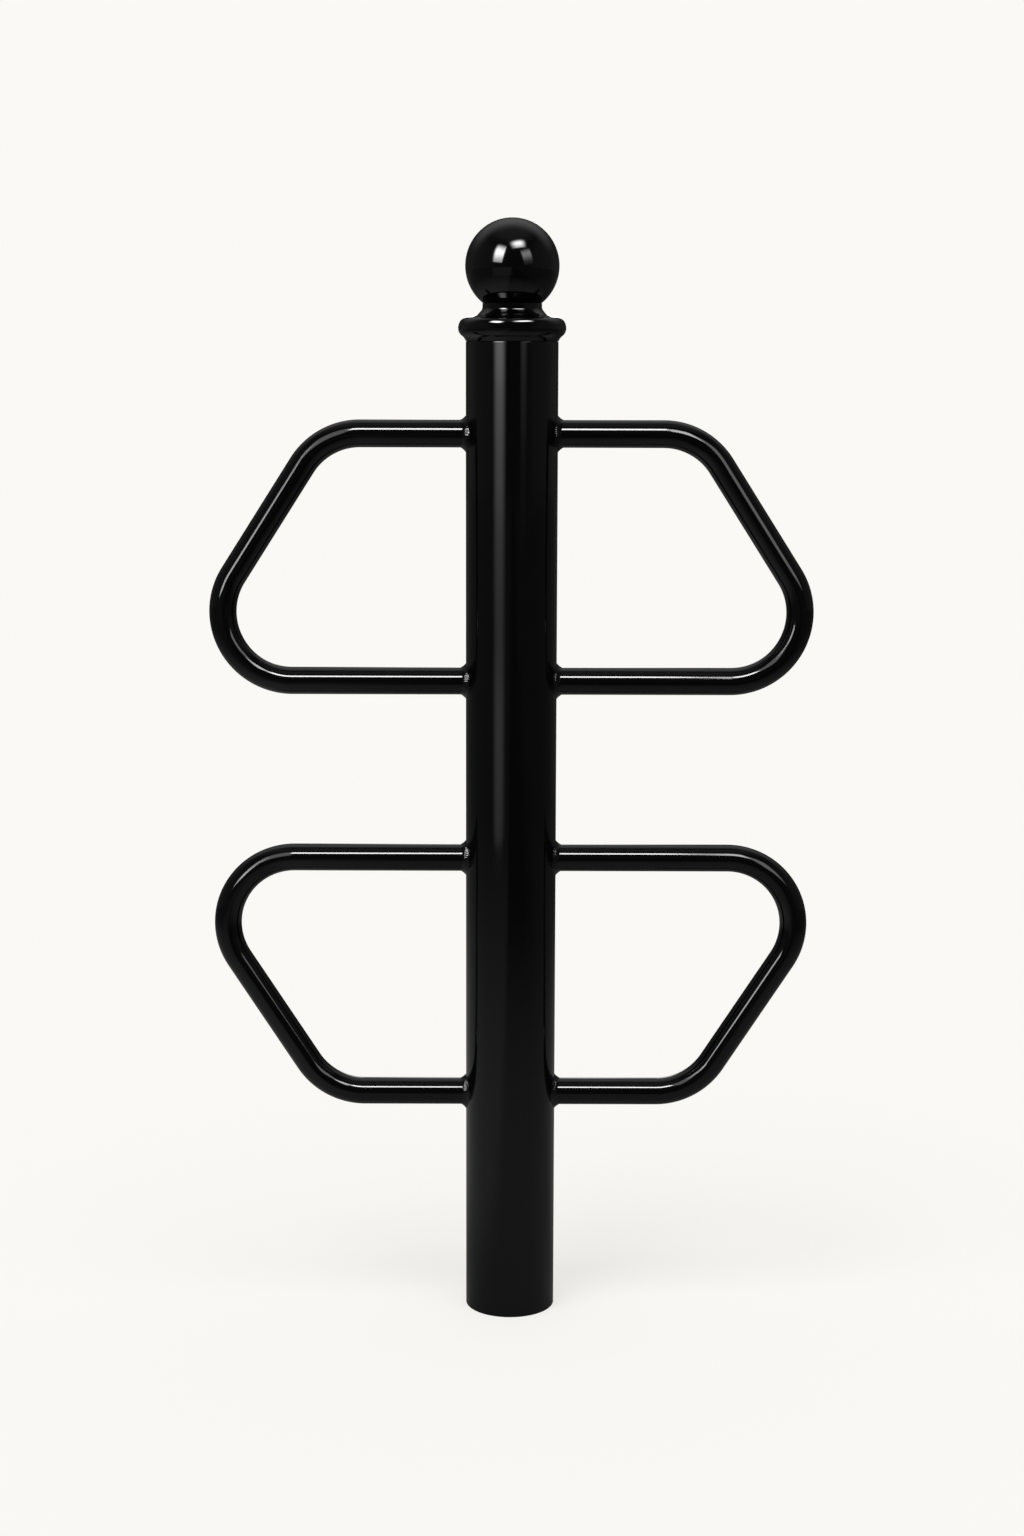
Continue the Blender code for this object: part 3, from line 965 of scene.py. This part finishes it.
def panel(name, place, aim, level, lit_pieces, across, up, roll=0):
    """A bright panel, square to the line from its place to its aim, that lights some pieces.

    Across and up are pairs of a distance from the place and the share of the level there. The
    first and the last pair are the panel's edges, and the shares between ease into each other.
    """
    turn = (Vector(aim) - Vector(place)).to_track_quat("-Z", "Y")
    turn = turn @ Quaternion((0, 0, 1), math.radians(roll))
    width, height = across[-1][0] - across[0][0], up[-1][0] - up[0][0]
    data = bpy.data.lights.new(name, "AREA")
    data.shape = "RECTANGLE"
    data.size = width
    data.size_y = height
    data.energy = level * width * height * math.pi
    data.use_nodes = True
    tree = data.node_tree
    position = add_node(tree, "ShaderNodeNewGeometry").outputs["Position"]
    offset = add_node(
        tree, "ShaderNodeVectorMath", {0: position, 1: Vector(place)}, operation="SUBTRACT"
    ).outputs[0]
    strength = 1.0
    for axis, stops in (((1, 0, 0), across), ((0, 1, 0), up)):
        direction = turn @ Vector(axis)
        along = add_node(
            tree, "ShaderNodeVectorMath", {0: offset, 1: direction}, operation="DOT_PRODUCT"
        ).outputs["Value"]
        first, last = stops[0][0], stops[-1][0]
        spot = add_node(
            tree,
            "ShaderNodeMapRange",
            {"Value": along, "From Min": first, "From Max": last},
        ).outputs[0]
        ramp = add_node(tree, "ShaderNodeValToRGB", {"Fac": spot})
        ramp.color_ramp.interpolation = "EASE"
        for _ in stops[2:]:
            ramp.color_ramp.elements.new(0.5)
        for stop, (distance, share) in zip(ramp.color_ramp.elements, stops):
            stop.position = (distance - first) / (last - first)
            stop.color = (share, share, share, 1.0)
        strength = add_node(
            tree, "ShaderNodeMath", {0: ramp.outputs["Color"], 1: strength}, operation="MULTIPLY"
        ).outputs[0]
    tree.links.new(strength, tree.nodes["Emission"].inputs["Strength"])
    lamp = bpy.data.objects.new(name, data)
    bpy.context.scene.collection.objects.link(lamp)
    middle = Vector(((across[0][0] + across[-1][0]) / 2, (up[0][0] + up[-1][0]) / 2, 0))
    lamp.location = Vector(place) + turn @ middle
    lamp.rotation_euler = turn.to_euler()
    lamp.visible_camera = False
    lamp.visible_diffuse = False
    pieces = bpy.data.collections.new(name + "_lights")
    for piece in lit_pieces:
        pieces.objects.link(piece)
    lamp.light_linking.receiver_collection = pieces
    return lamp


wide_lamp("key_lamp", bearing=-38.5, rise=64, level=key_level)
wide_lamp("fill_lamp", bearing=36, rise=69, level=fill_level)

# Round the ball: bearing, rise, roll, level, pieces, and the shares across and up.
finial_panels = {
    "left_box": (
        -35.4, 22.7, -5.5, 28.1, [ball, post],
        [(-0.625, 0), (-0.25, 1), (0.48, 0.86), (0.55, 0)],
        [(-0.78, 0), (-0.61, 0.32), (0.28, 1), (1.19, 0)],
    ),
    "top_lens": (
        19.2, 58.9, 4.5, 28.5, [ball],
        [(-0.88, 0), (-0.1, 0.9), (0.13, 0.9), (0.8, 0)],
        [(-0.81, 0), (-0.72, 0.45), (-0.29, 1), (0.17, 0)],
    ),
    "right_box": (
        31.4, 19.4, 10.5, 4.1, [ball, post],
        [(-0.28, 0), (-0.2, 0.95), (0.66, 1), (0.8, 0)],
        [(-0.94, 0), (-0.57, 0.08), (0.26, 1), (0.8, 0)],
    ),
    "cap_left_box": (
        -43, 48, 0, 45, [cap],
        [(-0.66, 0), (-0.08, 1), (0.08, 1), (0.62, 0)],
        [(-0.42, 0), (-0.1, 1), (0.1, 1), (0.42, 0)],
    ),
    "cap_right_box": (
        31, 57, 0, 44, [cap],
        [(-0.85, 0), (0.1, 1), (0.3, 1), (0.95, 0)],
        [(-0.36, 0), (-0.05, 1), (0.05, 1), (0.36, 0)],
    ),
    "low_wall": (
        -24, -15, 0, 0.10, [ball],
        [(-1.3, 0), (-0.9, 1), (0.7, 1), (1.2, 0)],
        [(-0.5, 0), (-0.3, 1), (0.3, 1), (0.5, 0)],
    ),
}
ball_middle = Vector((0, 0, ball_z))
for name, (bearing, rise, roll, level, pieces, across, up) in finial_panels.items():
    place = from_stand(bearing, rise, panel_distance, ball_z)
    panel(name, place, ball_middle, level, pieces, across, up, roll)

# On the welds: bearing, rise, level, half the width and half the height.
weld_panels = {
    "weld_left_near": (-77, 12, 24.0, 0.75, 0.11),
    "weld_left_side": (-97, 4.5, 24.0, 0.10, 0.24),
    "weld_right_near": (80, 14, 10.0, 0.15, 0.13),
    "weld_right_side": (96.5, 5, 10.0, 0.09, 0.27),
}
for name, (bearing, rise, level, half_width, half_height) in weld_panels.items():
    place = from_stand(bearing, rise, panel_distance, panel_height)
    panel(
        name, place, panel_aim, level, welds,
        [(-half_width, 1), (half_width, 1)], [(-half_height, 1), (half_height, 1)],
    )

# On the post's long wall: bearing, level, and the shares across and up.
post_panels = {
    "post_left_strip": (
        -32, 3.0, [(-0.77, 0), (-0.09, 1), (0.19, 1), (0.86, 0)],
        [(-0.6, 0.15), (-0.35, 0.2), (-0.18, 0.15), (-0.024, 0.21), (0.136, 0.38),
         (0.27, 0.53), (0.34, 0.77), (0.5, 1), (0.65, 1)],
    ),
    "post_right_strip": (
        33, 0.42, [(-0.62, 0), (-0.36, 1), (-0.12, 1), (0.28, 0)],
        [(-0.05, 0), (0.136, 0.12), (0.27, 0.45), (0.4, 1), (0.6, 1)],
    ),
}
for name, (bearing, level, across, up) in post_panels.items():
    place = from_stand(bearing, 0, panel_distance, panel_height)
    panel(name, place, panel_aim, level, [post], across, up)

# Straight behind the stand, so that its back has a soft streak too.
panel(
    "back_strip",
    from_stand(180, 0, panel_distance, panel_height),
    panel_aim,
    level=2.4,
    lit_pieces=[post, cap, ball, *loops, *welds],
    across=[(-0.42, 0), (-0.12, 1), (0.12, 1), (0.42, 0)],
    up=[(-0.55, 0.25), (0.1, 0.7), (0.8, 1)],
)

# On the loops: left edge, right edge, bottom and top on a plane in front, and level.
loop_panels = {
    "front_box": (-0.62, 0.42, 2.50, 3.30, 27.0),
    "left_strip": (-2.20, -1.46, 0.78, 2.42, 9.0),
    "front_right_box": (0.45, 1.25, 2.00, 3.15, 11.3),
    "right_wall": (1.24, 2.48, 1.07, 2.90, 2.45),
    "left_wall": (-2.30, -0.55, 1.50, 3.43, 1.9),
}
for name, (left, right, bottom, top, level) in loop_panels.items():
    middle = Vector(((left + right) / 2, -panel_distance, (bottom + top) / 2))
    half_width, half_height = (right - left) / 2, (top - bottom) / 2
    panel(
        name, middle, middle + Vector((0, 1, 0)), level, loops + welds,
        [(-half_width, 1), (half_width, 1)], [(-half_height, 1), (half_height, 1)],
    )


# The camera. It stands 2.36 m in front of the post, level with the post's top, and looks down
# by about 10 degrees through a lens a little longer than a normal one.

camera_lens = 56.98
camera_place = (0.00093, -2.361, 0.9583)
camera_tilt = math.radians(80.26)  # up from straight down
camera_roll = math.radians(0.155)

camera_data = bpy.data.cameras.new("camera")
camera_data.lens = camera_lens
camera = bpy.data.objects.new("camera", camera_data)
bpy.context.scene.collection.objects.link(camera)
camera.location = camera_place
camera.rotation_euler = (
    Matrix.Rotation(camera_tilt, 4, "X") @ Matrix.Rotation(camera_roll, 4, "Z")
).to_euler()
bpy.context.scene.camera = camera
bpy.context.scene.view_settings.view_transform = "Standard"
